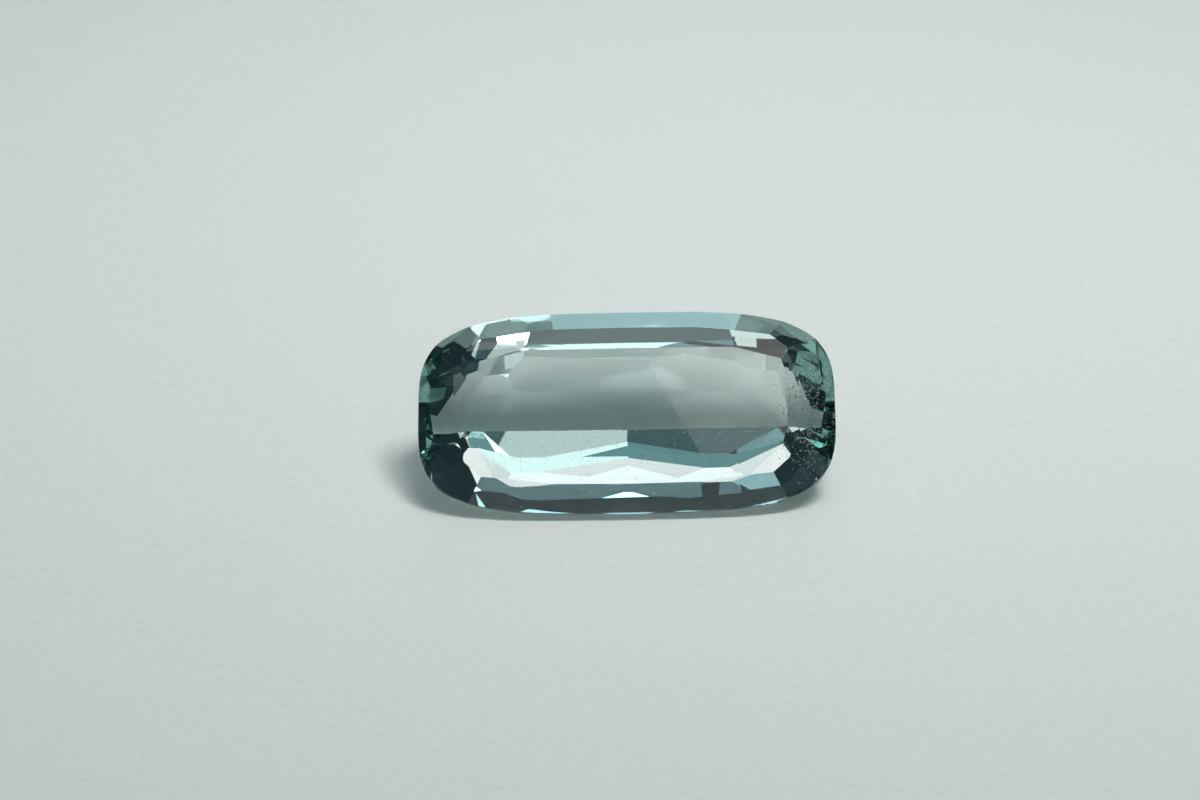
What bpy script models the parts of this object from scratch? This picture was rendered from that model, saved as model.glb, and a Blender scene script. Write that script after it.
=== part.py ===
"""A loose cut tourmaline: one long cushion-shaped stone with a diamond-lattice pavilion.

The stone is cut here the way a lapidary cuts it. A rough block is ground flat by flat, each
flat being one facet plane, first round the girdle, then the crown and its table, and last the
rows of the pavilion down to the keel. What is left between all the planes is the stone. It is
then laid down on the pavilion facet that a loose stone of this cut comes to rest on, with the
table leaning towards -Y and the long axis along X.

While it is being cut, the stone stands in its own frame: X along its length, Y across it, Z up
through the table, and the origin in the middle of the girdle. Lengths are in metres and slopes
are in degrees from the girdle's plane.
"""
import math
from typing import NamedTuple

import bmesh
import bpy
from mathutils import Matrix, Vector

# Outline of the girdle: |x / HALF_LENGTH| ** POWER + |y / HALF_WIDTH| ** POWER = 1
HALF_LENGTH = 0.0080
HALF_WIDTH = 0.0041
OUTLINE_POWER = 3.6
GIRDLE_HALF_HEIGHT = 0.00005
GIRDLE_FACETS_PER_QUARTER = 18

# Heights and slopes
TABLE_HEIGHT = 0.0011
SLOPE_POWER = 1.4

# The block that the stone is ground from is this much larger than the stone each way
ROUGH_HALF_SIZE = 0.012
# A corner closer to a cutting plane than this counts as lying on it
ON_PLANE = 1.0e-8

# Body colour and finish
BODY_COLOUR = (0.42, 0.66, 0.66, 1.0)
BODY_ROUGHNESS = 0.03
BODY_IOR = 1.63


class Row(NamedTuple):
    """One row of facets, cut at one setting of the slope and at stops along the outline."""

    side_slope: float
    end_slope: float
    inset: float
    stops: tuple
    shift: float = 0.0


# Stops are places along the half length where a facet faces straight out of the outline, as
# shares of the half length. Each one is cut at both ends and on both sides of the stone.
BREAK_CROWN = Row(38.0, 30.5, 0.0, (0.22, 0.46, 0.64, 0.84, 0.97, 1.0))
MAIN_CROWN = Row(29.75, 25.25, 0.0014, (0.0, 0.38, 0.90, 1.0))
STAR_CROWN = Row(18.5, 19.25, 0.0019, (0.17, 0.72, 0.98))

PAVILION = (
    Row(51.25, 77.75, 0.0, (0.33, 0.39, 0.60, 0.80, 0.95, 0.995)),
    Row(48.0, 67.0, 0.00015, (0.0, 0.49, 0.63, 0.955, 1.0), -0.14),
    Row(44.25, 57.0, 0.0016, (0.27, 0.73, 0.98, 1.0), 0.06),
    Row(42.75, 45.75, 0.0024, (0.0, 0.57, 0.96, 1.0), -0.06),
    Row(39.0, 46.75, 0.00295, (0.34, 0.77, 0.98, 1.0)),
)
RESTING_ROW = PAVILION[3]
RESTING_STOP = 0.0


def facing_at(stop):
    """Direction, as an angle from +X, that the outline faces where x / HALF_LENGTH = stop."""
    along = abs(stop)
    across = (1.0 - along**OUTLINE_POWER) ** (1.0 / OUTLINE_POWER)
    normal_x = math.copysign(along ** (OUTLINE_POWER - 1.0) / HALF_LENGTH, stop)
    normal_y = across ** (OUTLINE_POWER - 1.0) / HALF_WIDTH
    return math.atan2(normal_y, normal_x)


def facing_on_outline(turn):
    """Direction that the outline faces at this turn round it, counted in equal steps."""
    fall = 2.0 * (OUTLINE_POWER - 1.0) / OUTLINE_POWER
    normal_x = math.copysign(abs(math.cos(turn)) ** fall / HALF_LENGTH, math.cos(turn))
    normal_y = math.copysign(abs(math.sin(turn)) ** fall / HALF_WIDTH, math.sin(turn))
    return math.atan2(normal_y, normal_x)


def outline_reach(facing):
    """Distance from the middle to the outline's tangent that faces this way."""
    dual_power = OUTLINE_POWER / (OUTLINE_POWER - 1.0)
    along = (HALF_LENGTH * abs(math.cos(facing))) ** dual_power
    across = (HALF_WIDTH * abs(math.sin(facing))) ** dual_power
    return (along + across) ** (1.0 / dual_power)


def slope_at(row, facing):
    """The row's slope at this direction, in radians, easing from the long side to the end."""
    towards_end = abs(math.cos(facing)) ** SLOPE_POWER
    return math.radians(row.side_slope + (row.end_slope - row.side_slope) * towards_end)


def facings_of(row):
    """Every direction that the row is cut at, on both long sides."""
    facings = []
    for stop in row.stops:
        for end in (1.0, -1.0):
            place = end * stop + row.shift * (1.0 - stop * stop)
            facing = facing_at(place)
            facings.append(facing)
            facings.append(-facing)
    return facings


def clear_scene():
    """Take every object out of the scene."""
    for item in list(bpy.data.objects):
        bpy.data.objects.remove(item, do_unlink=True)


def rough_block():
    """A plain block of crystal, larger than the stone."""
    block = bmesh.new()
    bmesh.ops.create_cube(block, size=2.0 * ROUGH_HALF_SIZE)
    return block


def grind(stone, point, normal):
    """Grind one flat: take off all that lies beyond the plane and close the cut."""
    everything = stone.verts[:] + stone.edges[:] + stone.faces[:]
    cut = bmesh.ops.bisect_plane(
        stone,
        geom=everything,
        dist=ON_PLANE,
        plane_co=point,
        plane_no=normal,
        clear_outer=True,
    )
    rim = [part for part in cut["geom_cut"] if isinstance(part, bmesh.types.BMEdge)]
    open_rim = [edge for edge in rim if edge.is_boundary]
    if open_rim:
        bmesh.ops.contextual_create(stone, geom=open_rim)


def grind_sloped(stone, facing, slope, inset, height):
    """Grind a facet that faces this way and passes through the outline, inset, at this height.

    The slope is positive on the crown and negative on the pavilion.
    """
    outward = Vector((math.cos(facing), math.sin(facing), 0.0))
    point = outward * (outline_reach(facing) - inset) + Vector((0.0, 0.0, height))
    normal = outward * math.sin(abs(slope)) + Vector((0.0, 0.0, math.copysign(math.cos(slope), slope)))
    grind(stone, point, normal)


def grind_girdle(stone):
    """Grind the outline: upright facets whose stops crowd together towards the corners."""
    for number in range(4 * GIRDLE_FACETS_PER_QUARTER):
        turn = math.tau * number / (4 * GIRDLE_FACETS_PER_QUARTER)
        facing = facing_on_outline(turn)
        outward = Vector((math.cos(facing), math.sin(facing), 0.0))
        grind(stone, outward * outline_reach(facing), outward)


def grind_crown(stone):
    """Grind the table, then the break, main and star rows of the crown."""
    grind(stone, Vector((0.0, 0.0, TABLE_HEIGHT)), Vector((0.0, 0.0, 1.0)))
    for facing in facings_of(BREAK_CROWN):
        grind_sloped(stone, facing, slope_at(BREAK_CROWN, facing), 0.0, GIRDLE_HALF_HEIGHT)
    for facing in facings_of(MAIN_CROWN):
        rise = MAIN_CROWN.inset * math.tan(slope_at(BREAK_CROWN, facing))
        height = GIRDLE_HALF_HEIGHT + rise
        grind_sloped(stone, facing, slope_at(MAIN_CROWN, facing), MAIN_CROWN.inset, height)
    for facing in facings_of(STAR_CROWN):
        grind_sloped(stone, facing, slope_at(STAR_CROWN, facing), STAR_CROWN.inset, TABLE_HEIGHT)


def grind_pavilion(stone):
    """Grind the pavilion row by row, each row starting where the row above it has got to."""
    for number, row in enumerate(PAVILION):
        for facing in facings_of(row):
            grind_sloped(stone, facing, -slope_at(row, facing), row.inset, row_start(number, facing))


def row_start(number, facing):
    """Height at which a pavilion row starts, below the girdle, at this direction."""
    height = -GIRDLE_HALF_HEIGHT
    for upper, lower in zip(PAVILION[:number], PAVILION[1:number + 1]):
        height -= (lower.inset - upper.inset) * math.tan(slope_at(upper, facing))
    return height


def resting_normal():
    """The way out of the stone from the facet that it rests on, in the stone's own frame."""
    place = RESTING_STOP + RESTING_ROW.shift * (1.0 - RESTING_STOP * RESTING_STOP)
    facing = -facing_at(place)
    slope = slope_at(RESTING_ROW, facing)
    outward = Vector((math.cos(facing), math.sin(facing), 0.0))
    return outward * math.sin(slope) - Vector((0.0, 0.0, math.cos(slope)))


def lay_down(stone):
    """Turn the stone onto its resting facet and put the middle of its footprint at the origin."""
    up = -resting_normal()
    length_axis = Vector((1.0, 0.0, 0.0))
    right = (length_axis - up * length_axis.dot(up)).normalized()
    back = up.cross(right)
    bmesh.ops.transform(stone, matrix=Matrix((right, back, up)).to_4x4(), verts=stone.verts)
    lowest = Vector(min(vert.co[axis] for vert in stone.verts) for axis in range(3))
    highest = Vector(max(vert.co[axis] for vert in stone.verts) for axis in range(3))
    middle = (lowest + highest) / 2.0
    bmesh.ops.translate(stone, vec=(-middle.x, -middle.y, -lowest.z), verts=stone.verts)


def crystal_material():
    """Pale blue-green crystal with a polished surface."""
    material = bpy.data.materials.new("tourmaline")
    material.use_nodes = True
    surface = material.node_tree.nodes["Principled BSDF"]
    surface.inputs["Base Color"].default_value = BODY_COLOUR
    surface.inputs["Metallic"].default_value = 0.0
    surface.inputs["Roughness"].default_value = BODY_ROUGHNESS
    surface.inputs["IOR"].default_value = BODY_IOR
    return material


def cut_stone():
    """Cut the whole stone, lay it down and put it in the scene as one object."""
    stone = rough_block()
    grind_girdle(stone)
    grind_crown(stone)
    grind_pavilion(stone)
    lay_down(stone)
    bmesh.ops.recalc_face_normals(stone, faces=stone.faces)
    mesh = bpy.data.meshes.new("cut_stone")
    stone.to_mesh(mesh)
    stone.free()
    mesh.materials.append(crystal_material())
    bpy.context.scene.collection.objects.link(bpy.data.objects.new("cut_stone", mesh))


def main():
    """Build the part."""
    clear_scene()
    cut_stone()


main()
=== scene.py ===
"""A loose cut tourmaline lying on pale paper under soft studio light.

The stone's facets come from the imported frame. This script gives them the clear blue-green
crystal with its fine inclusions, and adds the paper that the stone lies on, the soft boxes round
it and the camera. Lengths are in metres and angles in degrees, unless a name says otherwise.
X runs along the stone, Y away from the side that the table leans towards, and Z up.
"""
from __future__ import annotations

import logging
import math
from dataclasses import dataclass
from enum import Enum

import bmesh
import bpy
import numpy as np
from mathutils import Matrix, Vector


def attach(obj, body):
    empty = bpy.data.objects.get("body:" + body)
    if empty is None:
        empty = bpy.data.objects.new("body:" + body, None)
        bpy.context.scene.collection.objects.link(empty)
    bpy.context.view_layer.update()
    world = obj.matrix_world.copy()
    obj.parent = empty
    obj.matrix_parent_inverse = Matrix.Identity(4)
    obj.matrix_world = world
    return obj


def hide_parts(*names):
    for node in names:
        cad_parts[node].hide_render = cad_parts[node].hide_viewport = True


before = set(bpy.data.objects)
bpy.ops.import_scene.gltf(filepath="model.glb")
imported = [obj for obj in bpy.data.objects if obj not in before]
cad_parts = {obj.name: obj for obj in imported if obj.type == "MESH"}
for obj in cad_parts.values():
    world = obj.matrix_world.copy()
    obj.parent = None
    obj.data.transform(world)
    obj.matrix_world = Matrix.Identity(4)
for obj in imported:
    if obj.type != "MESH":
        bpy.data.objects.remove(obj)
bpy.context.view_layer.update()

STONE_NODE = "cut_stone"
BODY = "root"
MM = 0.001
LOG = logging.getLogger("cut_tourmaline")

Colour = tuple[float, float, float, float]
BLACK: Colour = (0.0, 0.0, 0.0, 1.0)
WHITE: Colour = (1.0, 1.0, 1.0, 1.0)

# A spindle of half size one: its two tips along X, then the four corners of its waist
SPINDLE_CORNERS = np.array(
    [
        (1.0, 0.0, 0.0),
        (-1.0, 0.0, 0.0),
        (0.0, 1.0, 0.0),
        (0.0, -1.0, 0.0),
        (0.0, 0.0, 1.0),
        (0.0, 0.0, -1.0),
    ]
)
SPINDLE_FACES = np.array(
    [(0, 2, 4), (2, 1, 4), (1, 3, 4), (3, 0, 4), (2, 0, 5), (1, 2, 5), (3, 1, 5), (0, 3, 5)]
)


class Grain(Enum):
    """The shapes that a fine inclusion takes, as its length over its thickness."""

    DROPLET = 1.0
    TUBE = 30.0


class Gel(Enum):
    """The tints of the soft boxes: red, green and blue, with green kept at one."""

    WARM = (1.11, 1.0, 1.02)
    COOL = (0.64, 1.0, 1.09)


def socket(node: bpy.types.Node, name: str, value: float | Colour | tuple[float, float, float]) -> None:
    """Set one unlinked input of a shader node."""
    node.inputs[name].default_value = value


def link_object(name: str, data: bpy.types.ID) -> bpy.types.Object:
    """Put a mesh, light or camera into the scene as an object at the origin, unturned and unscaled.

    Args:
        name: the object's name.
        data: the mesh, light or camera.

    Returns:
        The new object.
    """
    item = bpy.data.objects.new(name, data)
    bpy.context.scene.collection.objects.link(item)
    return item


def mesh_from_arrays(name: str, points: np.ndarray, faces: np.ndarray) -> bpy.types.Mesh:
    """Fill a mesh from whole arrays.

    Args:
        name: the mesh's name.
        points: corner places, one row of three for each.
        faces: corner numbers, one row for each face, all of one length.

    Returns:
        The mesh, with its faces turned as given.
    """
    mesh = bpy.data.meshes.new(name)
    mesh.vertices.add(len(points))
    mesh.vertices.foreach_set("co", points.astype(np.float32).ravel())
    mesh.loops.add(faces.size)
    mesh.loops.foreach_set("vertex_index", faces.astype(np.int32).ravel())
    mesh.polygons.add(len(faces))
    mesh.polygons.foreach_set("loop_start", np.arange(0, faces.size, faces.shape[1], dtype=np.int32))
    mesh.update(calc_edges=True)
    return mesh


def direction(azimuth: float, elevation: float) -> Vector:
    """The unit vector at an azimuth and an elevation.

    Along X and Y it is the elevation's cosine times the azimuth's cosine and sine, and along Z
    it is the elevation's sine.

    Args:
        azimuth: the angle from +X towards +Y.
        elevation: the angle above the paper.

    Returns:
        A vector of length one.
    """
    level = math.cos(math.radians(elevation))
    turn = math.radians(azimuth)
    return Vector((level * math.cos(turn), level * math.sin(turn), math.sin(math.radians(elevation))))


def facing(outwards: Vector) -> Matrix:
    """The turn that points an object's local -Z back along a direction, with its Y upright."""
    return outwards.to_track_quat("Z", "Y").to_matrix().to_4x4()


@dataclass(frozen=True)
class Mottle:
    """A noise that runs from one shade to another.

    The steps are the noise values at which the first shade ends and the second begins. Between
    them the shade changes in a straight line.
    """

    size: float
    shades: tuple[Colour, Colour]
    steps: tuple[float, float] = (0.0, 1.0)
    detail: float = 4.0

    def output(self, tree: bpy.types.NodeTree) -> bpy.types.NodeSocket:
        """Add the mottle to a material.

        Args:
            tree: the material's node tree.

        Returns:
            The mottle's colour output.
        """
        place = tree.nodes.new("ShaderNodeTexCoord")
        noise = tree.nodes.new("ShaderNodeTexNoise")
        socket(noise, "Scale", 1.0 / self.size)
        socket(noise, "Detail", self.detail)
        ramp = tree.nodes.new("ShaderNodeValToRGB")
        first, second = ramp.color_ramp.elements[0], ramp.color_ramp.elements[1]
        first.position, second.position = self.steps
        first.color, second.color = self.shades
        tree.links.new(place.outputs["Object"], noise.inputs["Vector"])
        tree.links.new(noise.outputs["Fac"], ramp.inputs["Fac"])
        return ramp.outputs["Color"]


@dataclass(frozen=True)
class Crystal:
    """Clear blue-green crystal with a hand-polished surface.

    Light dies away along its path. The rate per metre is the density times one less the passed
    hue, so that red goes fastest and green and blue are left.
    """

    surface_tint: Colour = WHITE
    refraction: float = 1.64
    roughness: float = 0.004
    passed_hue: Colour = (0.13, 0.50, 0.42, 1.0)
    density: float = 86.0
    line_pitch: float = 0.05 * MM
    line_stretch: tuple[float, float, float] = (0.06, 1.0, 1.0)
    line_detail: float = 2.0
    line_height: float = 0.001 * MM
    line_strength: float = 0.01

    def material(self) -> bpy.types.Material:
        """Build the node material.

        Returns:
            A material with a clear, faintly lined surface and an absorbing volume.
        """
        material = bpy.data.materials.new("blue_green_crystal")
        material.use_nodes = True
        tree = material.node_tree
        tree.nodes.clear()
        output = tree.nodes.new("ShaderNodeOutputMaterial")
        surface = tree.nodes.new("ShaderNodeBsdfPrincipled")
        socket(surface, "Base Color", self.surface_tint)
        socket(surface, "Metallic", 0.0)
        socket(surface, "Roughness", self.roughness)
        socket(surface, "IOR", self.refraction)
        socket(surface, "Transmission Weight", 1.0)
        tree.links.new(surface.outputs["BSDF"], output.inputs["Surface"])
        volume = tree.nodes.new("ShaderNodeVolumeAbsorption")
        socket(volume, "Color", self.passed_hue)
        socket(volume, "Density", self.density)
        tree.links.new(volume.outputs["Volume"], output.inputs["Volume"])
        self.add_polish_lines(tree, surface)
        return material

    def add_polish_lines(self, tree: bpy.types.NodeTree, surface: bpy.types.Node) -> None:
        """Give the surface the faint streaks that a polishing lap leaves.

        The height is a fine noise stretched along X, so that the streaks run along the stone.

        Args:
            tree: the material's node tree.
            surface: the surface shader, whose Normal input is linked.
        """
        place = tree.nodes.new("ShaderNodeTexCoord")
        stretch = tree.nodes.new("ShaderNodeMapping")
        socket(stretch, "Scale", self.line_stretch)
        streaks = tree.nodes.new("ShaderNodeTexNoise")
        socket(streaks, "Scale", 1.0 / self.line_pitch)
        socket(streaks, "Detail", self.line_detail)
        bump = tree.nodes.new("ShaderNodeBump")
        socket(bump, "Strength", self.line_strength)
        socket(bump, "Distance", self.line_height)
        tree.links.new(place.outputs["Object"], stretch.inputs["Vector"])
        tree.links.new(stretch.outputs["Vector"], streaks.inputs["Vector"])
        tree.links.new(streaks.outputs["Fac"], bump.inputs["Height"])
        tree.links.new(bump.outputs["Normal"], surface.inputs["Normal"])


@dataclass(frozen=True)
class PaleMineral:
    """The milky fill of the fine droplets and tubes, a little stained from grain to grain."""

    stains: Mottle = Mottle(
        size=0.3 * MM,
        shades=((0.60, 0.62, 0.55, 1.0), (0.86, 0.92, 0.90, 1.0)),
        steps=(0.40, 0.60),
        detail=3.0,
    )
    roughness: float = 0.45

    def material(self) -> bpy.types.Material:
        """Build the node material.

        Returns:
            A pale, half-matt material.
        """
        material = bpy.data.materials.new("pale_mineral")
        material.use_nodes = True
        tree = material.node_tree
        surface = tree.nodes["Principled BSDF"]
        socket(surface, "Roughness", self.roughness)
        tree.links.new(self.stains.output(tree), surface.inputs["Base Color"])
        return material


@dataclass(frozen=True)
class Paper:
    """Pale smooth card with a fine grain, a few darker specks and a slight tooth."""

    grain: Mottle = Mottle(
        size=0.30 * MM,
        shades=((0.676, 0.778, 0.736, 1.0), (0.698, 0.806, 0.766, 1.0)),
        steps=(0.35, 0.65),
    )
    specks: Mottle = Mottle(size=0.45 * MM, shades=(BLACK, WHITE), steps=(0.70, 0.76))
    speck_shade: Colour = (0.620, 0.690, 0.636, 1.0)
    tooth: Mottle = Mottle(size=0.10 * MM, shades=(BLACK, WHITE))
    tooth_height: float = 0.003 * MM
    tooth_strength: float = 0.6
    roughness: float = 0.9
    sheen_level: float = 0.2

    def material(self) -> bpy.types.Material:
        """Build the node material.

        Returns:
            A matt material whose colour drifts between two close shades, with a few darker
            specks, and whose surface has a fine bump.
        """
        material = bpy.data.materials.new("pale_card")
        material.use_nodes = True
        tree = material.node_tree
        surface = tree.nodes["Principled BSDF"]
        socket(surface, "Roughness", self.roughness)
        socket(surface, "Specular IOR Level", self.sheen_level)
        flecked = tree.nodes.new("ShaderNodeMixRGB")
        socket(flecked, "Color2", self.speck_shade)
        tree.links.new(self.specks.output(tree), flecked.inputs["Fac"])
        tree.links.new(self.grain.output(tree), flecked.inputs["Color1"])
        tree.links.new(flecked.outputs["Color"], surface.inputs["Base Color"])
        bump = tree.nodes.new("ShaderNodeBump")
        socket(bump, "Strength", self.tooth_strength)
        socket(bump, "Distance", self.tooth_height)
        tree.links.new(self.tooth.output(tree), bump.inputs["Height"])
        tree.links.new(bump.outputs["Normal"], surface.inputs["Normal"])
        return material


@dataclass
class CutStone:
    """The polished stone: the frame's facets joined up into whole flats."""

    finish: Crystal
    weld_gap: float = 0.0003 * MM
    flat_within: float = 0.10

    def build(self) -> bpy.types.Object:
        """Join the facets, dress them and put the stone in the frame's place.

        Returns:
            The stone's object, riding on the frame and standing in for its plain solid.
        """
        mesh = self.joined_facets()
        mesh.materials.append(self.finish.material())
        stone = link_object("polished_stone", mesh)
        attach(stone, BODY)
        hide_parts(STONE_NODE)
        return stone

    def joined_facets(self) -> bpy.types.Mesh:
        """Copy the solid's loose triangles and join them into whole facets.

        Returns:
            One closed skin, shaded flat.
        """
        skin = bmesh.new()
        skin.from_mesh(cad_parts[STONE_NODE].data)
        bmesh.ops.remove_doubles(skin, verts=skin.verts, dist=self.weld_gap)
        bmesh.ops.dissolve_limit(
            skin, angle_limit=math.radians(self.flat_within), verts=skin.verts, edges=skin.edges
        )
        mesh = bpy.data.meshes.new("polished_stone")
        skin.to_mesh(mesh)
        skin.free()
        mesh.shade_flat()
        return mesh


def depth_inside(stone: bpy.types.Mesh, places: np.ndarray) -> np.ndarray:
    """How deep each place lies under the stone's surface.

    A place lies below a facet by the facet's normal times the step from the place to the
    facet's middle. The stone bulges everywhere, so the least of these is the depth.

    Args:
        stone: the closed skin of flat facets.
        places: one row of three for each place.

    Returns:
        One depth for each place, below zero for a place outside.
    """
    normals = np.empty(len(stone.polygons) * 3, dtype=np.float32)
    middles = np.empty_like(normals)
    stone.polygons.foreach_get("normal", normals)
    stone.polygons.foreach_get("center", middles)
    normals = normals.reshape(-1, 3)
    reach = np.sum(normals * middles.reshape(-1, 3), axis=1)
    return np.min(reach - places @ normals.T, axis=1)


@dataclass(frozen=True)
class InclusionCloud:
    """Many fine grains of one shape, scattered round a place inside the crystal.

    The cloud is densest at its middle and thins out over its spread along X, Y and Z. Grains
    that would come nearer to the surface than the clearance are left out. No grain is thicker
    than the cloud's thickness. Each has a random share of it, raised to a power so that most
    grains are small and a few are large.
    """

    name: str
    grain: Grain
    count: int
    middle: tuple[float, float, float]
    spread: tuple[float, float, float]
    thickness: float
    seed: int
    clearance: float = 0.06 * MM
    tries_per_grain: int = 12
    smallest_share: float = 0.25
    share_power: float = 1.5

    def build(self, stone: bpy.types.Object, fill: bpy.types.Material) -> bpy.types.Object:
        """Make the cloud as one mesh riding on the frame.

        Args:
            stone: the stone that the grains lie in.
            fill: the material of the grains.

        Returns:
            The cloud's object.
        """
        chance = np.random.default_rng(self.seed)
        middles = self.grain_middles(stone.data, chance)
        mesh = self.spindles(middles, chance)
        mesh.materials.append(fill)
        cloud = link_object(self.name, mesh)
        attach(cloud, BODY)
        return cloud

    def grain_middles(self, stone: bpy.types.Mesh, chance: np.random.Generator) -> np.ndarray:
        """Scatter more places than are needed and keep those that lie well inside the stone.

        A place is the cloud's middle plus a normal draw times the spread along each axis.

        Args:
            stone: the closed skin of flat facets.
            chance: the source of the random places.

        Returns:
            One row of three for each grain.
        """
        shape = (self.count * self.tries_per_grain, 3)
        places = np.array(self.middle) + chance.normal(size=shape) * np.array(self.spread)
        half_length = self.thickness * self.grain.value / 2.0
        deep_enough = depth_inside(stone, places) > self.clearance + half_length
        return places[deep_enough][: self.count]

    def spindles(self, middles: np.ndarray, chance: np.random.Generator) -> bpy.types.Mesh:
        """Set one eight-sided spindle at each place, its long axis along X.

        A corner is the spindle's middle plus half its thickness times the unit spindle's corner,
        which is stretched along X by the grain's length over its thickness.

        Args:
            middles: the places of the spindles' middles.
            chance: the source of the random shares.

        Returns:
            One mesh that holds every spindle, each of them closed.
        """
        share = chance.uniform(self.smallest_share, 1.0, size=(len(middles), 1, 1)) ** self.share_power
        half_sizes = self.thickness / 2.0 * share * np.array((self.grain.value, 1.0, 1.0))
        corners = middles[:, None, :] + half_sizes * SPINDLE_CORNERS
        starts = np.arange(len(middles))[:, None, None] * len(SPINDLE_CORNERS)
        return mesh_from_arrays(self.name, corners.reshape(-1, 3), (starts + SPINDLE_FACES).reshape(-1, 3))


INCLUSIONS = (
    InclusionCloud(
        name="end_veil",
        grain=Grain.DROPLET,
        count=900,
        middle=(6.6 * MM, 0.3 * MM, 2.6 * MM),
        spread=(0.35 * MM, 1.1 * MM, 0.9 * MM),
        thickness=0.08 * MM,
        seed=3,
    ),
    InclusionCloud(
        name="keel_specks",
        grain=Grain.DROPLET,
        count=620,
        middle=(0.0, 0.8 * MM, 1.2 * MM),
        spread=(4.5 * MM, 0.8 * MM, 0.6 * MM),
        thickness=0.05 * MM,
        seed=5,
    ),
    InclusionCloud(
        name="end_tubes",
        grain=Grain.TUBE,
        count=22,
        middle=(5.8 * MM, 0.6 * MM, 2.4 * MM),
        spread=(1.2 * MM, 0.8 * MM, 0.8 * MM),
        thickness=0.03 * MM,
        seed=8,
    ),
)


@dataclass(frozen=True)
class SoftBox:
    """One soft box, hung in a direction from the stone.

    Its width and height are the angles that its sides fill, seen from the stone. A honeycomb
    grid narrows its beam to the spread. The box faces the stone, or a place on the paper behind
    it, so that its light falls off in front.
    """

    name: str
    gel: Gel
    azimuth: float
    elevation: float
    width: float
    height: float
    brightness: float
    distance: float = 0.30
    spread: float = 180.0
    aimed_behind: float = 0.0

    def build(self) -> bpy.types.Object:
        """Hang the box and turn it to face its aim.

        Its power is pi times its area times its brightness, so that boxes of one brightness look
        equally bright whatever their sizes. A grid gathers the same power in a narrower beam, so
        the power is cut by one less the half spread over its tangent. That is no cut for a box
        without a grid.

        Returns:
            The light's object.
        """
        light = bpy.data.lights.new(self.name, "AREA")
        light.shape = "RECTANGLE"
        light.size = self.side(self.width)
        light.size_y = self.side(self.height)
        half_spread = math.radians(self.spread) / 2.0
        grid_cut = 1.0 - half_spread / math.tan(half_spread)
        light.spread = 2.0 * half_spread
        light.energy = math.pi * light.size * light.size_y * self.brightness * grid_cut
        light.color = self.gel.value
        lamp = link_object(self.name, light)
        place = direction(self.azimuth, self.elevation) * self.distance
        aim = Vector((0.0, self.aimed_behind, 0.0))
        lamp.matrix_world = Matrix.Translation(place) @ facing((place - aim).normalized())
        return lamp

    def side(self, angle: float) -> float:
        """The side that fills an angle: twice the distance times the tangent of half the angle."""
        return 2.0 * self.distance * math.tan(math.radians(angle) / 2.0)


BOXES = (
    SoftBox(
        name="key_box",
        gel=Gel.WARM,
        azimuth=337.0,
        elevation=67.0,
        width=10.0,
        height=18.0,
        brightness=33.0,
        spread=50.0,
        aimed_behind=35.0 * MM,
    ),
    SoftBox(
        name="top_box",
        gel=Gel.WARM,
        azimuth=316.0,
        elevation=76.0,
        width=15.0,
        height=13.0,
        brightness=14.5,
        spread=50.0,
        aimed_behind=35.0 * MM,
    ),
    SoftBox(
        name="right_front_box",
        gel=Gel.WARM,
        azimuth=304.0,
        elevation=57.0,
        width=24.0,
        height=31.0,
        brightness=0.85,
    ),
    SoftBox(
        name="front_high_strip",
        gel=Gel.WARM,
        azimuth=290.0,
        elevation=57.0,
        width=23.0,
        height=9.0,
        brightness=1.3,
    ),
    SoftBox(
        name="left_high_box",
        gel=Gel.WARM,
        azimuth=217.0,
        elevation=64.0,
        width=23.0,
        height=18.0,
        brightness=1.1,
    ),
    SoftBox(
        name="back_high_box",
        gel=Gel.WARM,
        azimuth=87.0,
        elevation=61.0,
        width=29.0,
        height=28.0,
        brightness=1.3,
    ),
    SoftBox(
        name="back_strip",
        gel=Gel.COOL,
        azimuth=83.0,
        elevation=32.0,
        width=23.0,
        height=8.0,
        brightness=2.6,
    ),
    SoftBox(
        name="back_low_box",
        gel=Gel.COOL,
        azimuth=91.0,
        elevation=9.0,
        width=26.0,
        height=14.0,
        brightness=1.3,
    ),
    SoftBox(
        name="back_left_box",
        gel=Gel.COOL,
        azimuth=102.0,
        elevation=39.0,
        width=10.0,
        height=11.0,
        brightness=0.54,
    ),
    SoftBox(
        name="back_dim_box",
        gel=Gel.COOL,
        azimuth=81.0,
        elevation=48.0,
        width=19.0,
        height=27.0,
        brightness=0.18,
    ),
    SoftBox(
        name="front_wide_strip",
        gel=Gel.COOL,
        azimuth=276.0,
        elevation=38.0,
        width=42.0,
        height=16.0,
        brightness=0.42,
    ),
    SoftBox(
        name="front_dim_box",
        gel=Gel.COOL,
        azimuth=270.0,
        elevation=53.0,
        width=17.0,
        height=15.0,
        brightness=0.36,
    ),
    SoftBox(
        name="dim_ceiling",
        gel=Gel.COOL,
        azimuth=262.0,
        elevation=77.0,
        width=82.0,
        height=27.0,
        brightness=0.12,
    ),
)


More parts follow.
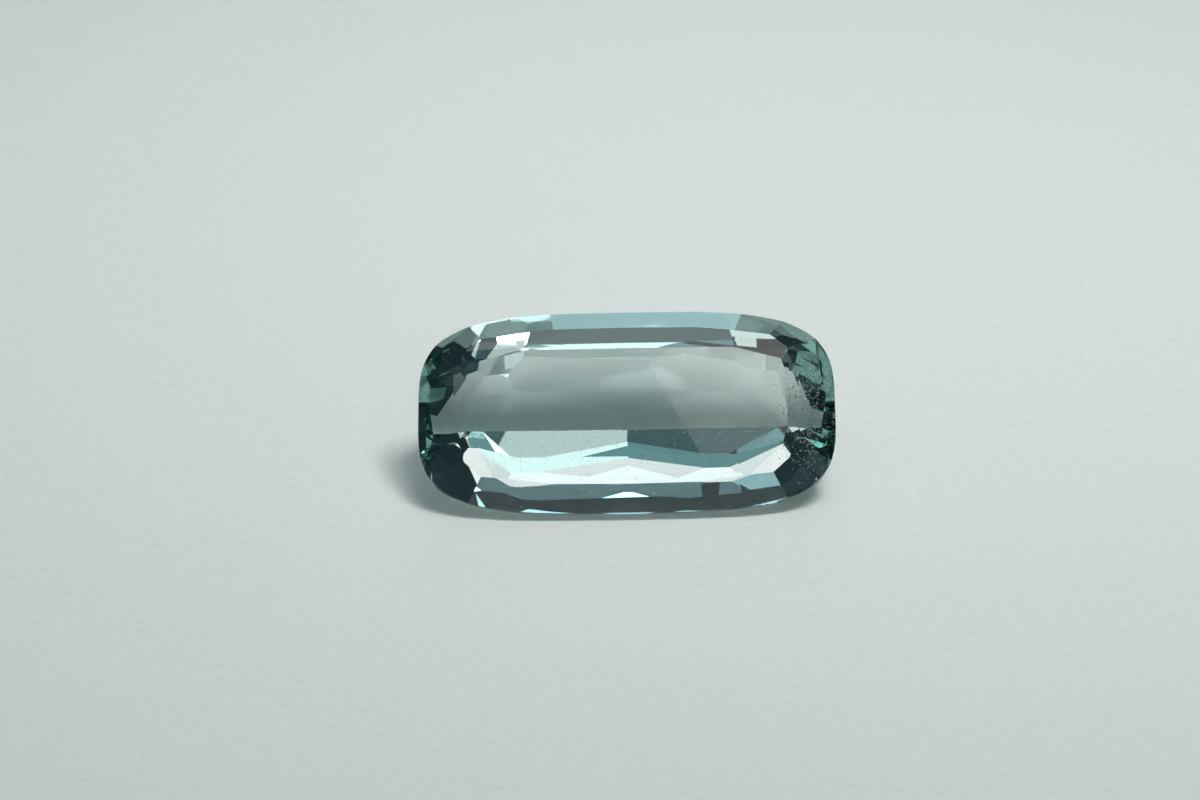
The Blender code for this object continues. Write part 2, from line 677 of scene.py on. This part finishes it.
@dataclass
class Studio:
    """The paper, the soft boxes, the dim room and the camera.

    The paper lies a hair below the stone's resting facet: a polished facet touches the fibres
    of a paper only here and there, and light passes between the two.
    """

    paper: Paper
    boxes: tuple[SoftBox, ...]
    paper_size: float = 0.8
    paper_gap: float = 0.01 * MM
    room_shade: Colour = (0.022, 0.036, 0.043, 1.0)
    camera_azimuth: float = 271.18
    camera_elevation: float = 26.38
    camera_roll: float = -1.49
    camera_distance: float = 130.0 * MM
    nearest_view: float = 5.0 * MM
    focal_length_mm: float = 101.6
    aim: tuple[float, float, float] = (-1.01 * MM, 0.18 * MM, 3.52 * MM)
    most_turns: int = 24
    crystal_turns: int = 20
    diffuse_turns: int = 4

    def build(self) -> None:
        """Lay the paper, hang the boxes, dim the room and set up the camera."""
        self.lay_paper()
        for box in self.boxes:
            box.build()
        self.dim_room()
        self.place_camera()
        self.allow_turns()

    def lay_paper(self) -> bpy.types.Object:
        """Lay one flat sheet, far larger than the view, under the stone.

        Returns:
            The sheet's object.
        """
        half = self.paper_size / 2.0
        corners = np.array([(-half, -half), (half, -half), (half, half), (-half, half)])
        level = np.full((len(corners), 1), -self.paper_gap)
        mesh = mesh_from_arrays("paper", np.hstack((corners, level)), np.array([(0, 1, 2, 3)]))
        mesh.materials.append(self.paper.material())
        sheet = link_object("paper", mesh)
        return sheet

    def dim_room(self) -> None:
        """Fill the room round the boxes with an even dim light."""
        world = bpy.data.worlds.new("dim_room")
        world.use_nodes = True
        socket(world.node_tree.nodes["Background"], "Color", self.room_shade)
        bpy.context.scene.world = world

    def place_camera(self) -> None:
        """Point a long lens at the stone."""
        lens = bpy.data.cameras.new("camera")
        lens.lens = self.focal_length_mm
        lens.clip_start = self.nearest_view
        camera = link_object("camera", lens)
        outwards = direction(self.camera_azimuth, self.camera_elevation)
        roll = Matrix.Rotation(math.radians(self.camera_roll), 4, "Z")
        place = Vector(self.aim) + outwards * self.camera_distance
        camera.matrix_world = Matrix.Translation(place) @ facing(outwards) @ roll
        bpy.context.scene.camera = camera

    def allow_turns(self) -> None:
        """Let light turn often enough inside the stone, and show its colours as they are."""
        scene = bpy.context.scene
        scene.cycles.max_bounces = self.most_turns
        scene.cycles.glossy_bounces = self.crystal_turns
        scene.cycles.transmission_bounces = self.crystal_turns
        scene.cycles.diffuse_bounces = self.diffuse_turns
        scene.view_settings.view_transform = "Standard"


def main() -> None:
    """Build the stone, its inclusions and the studio round it."""
    logging.basicConfig(level=logging.INFO, format="%(name)s: %(message)s")
    stone = CutStone(Crystal()).build()
    LOG.info("stone: %d flats", len(stone.data.polygons))
    fill = PaleMineral().material()
    for inclusions in INCLUSIONS:
        cloud = inclusions.build(stone, fill)
        LOG.info("%s: %d grains", inclusions.name, len(cloud.data.vertices) // len(SPINDLE_CORNERS))
    Studio(Paper(), BOXES).build()
    LOG.info("studio: %d soft boxes", len(BOXES))


if __name__ == "__main__":
    main()
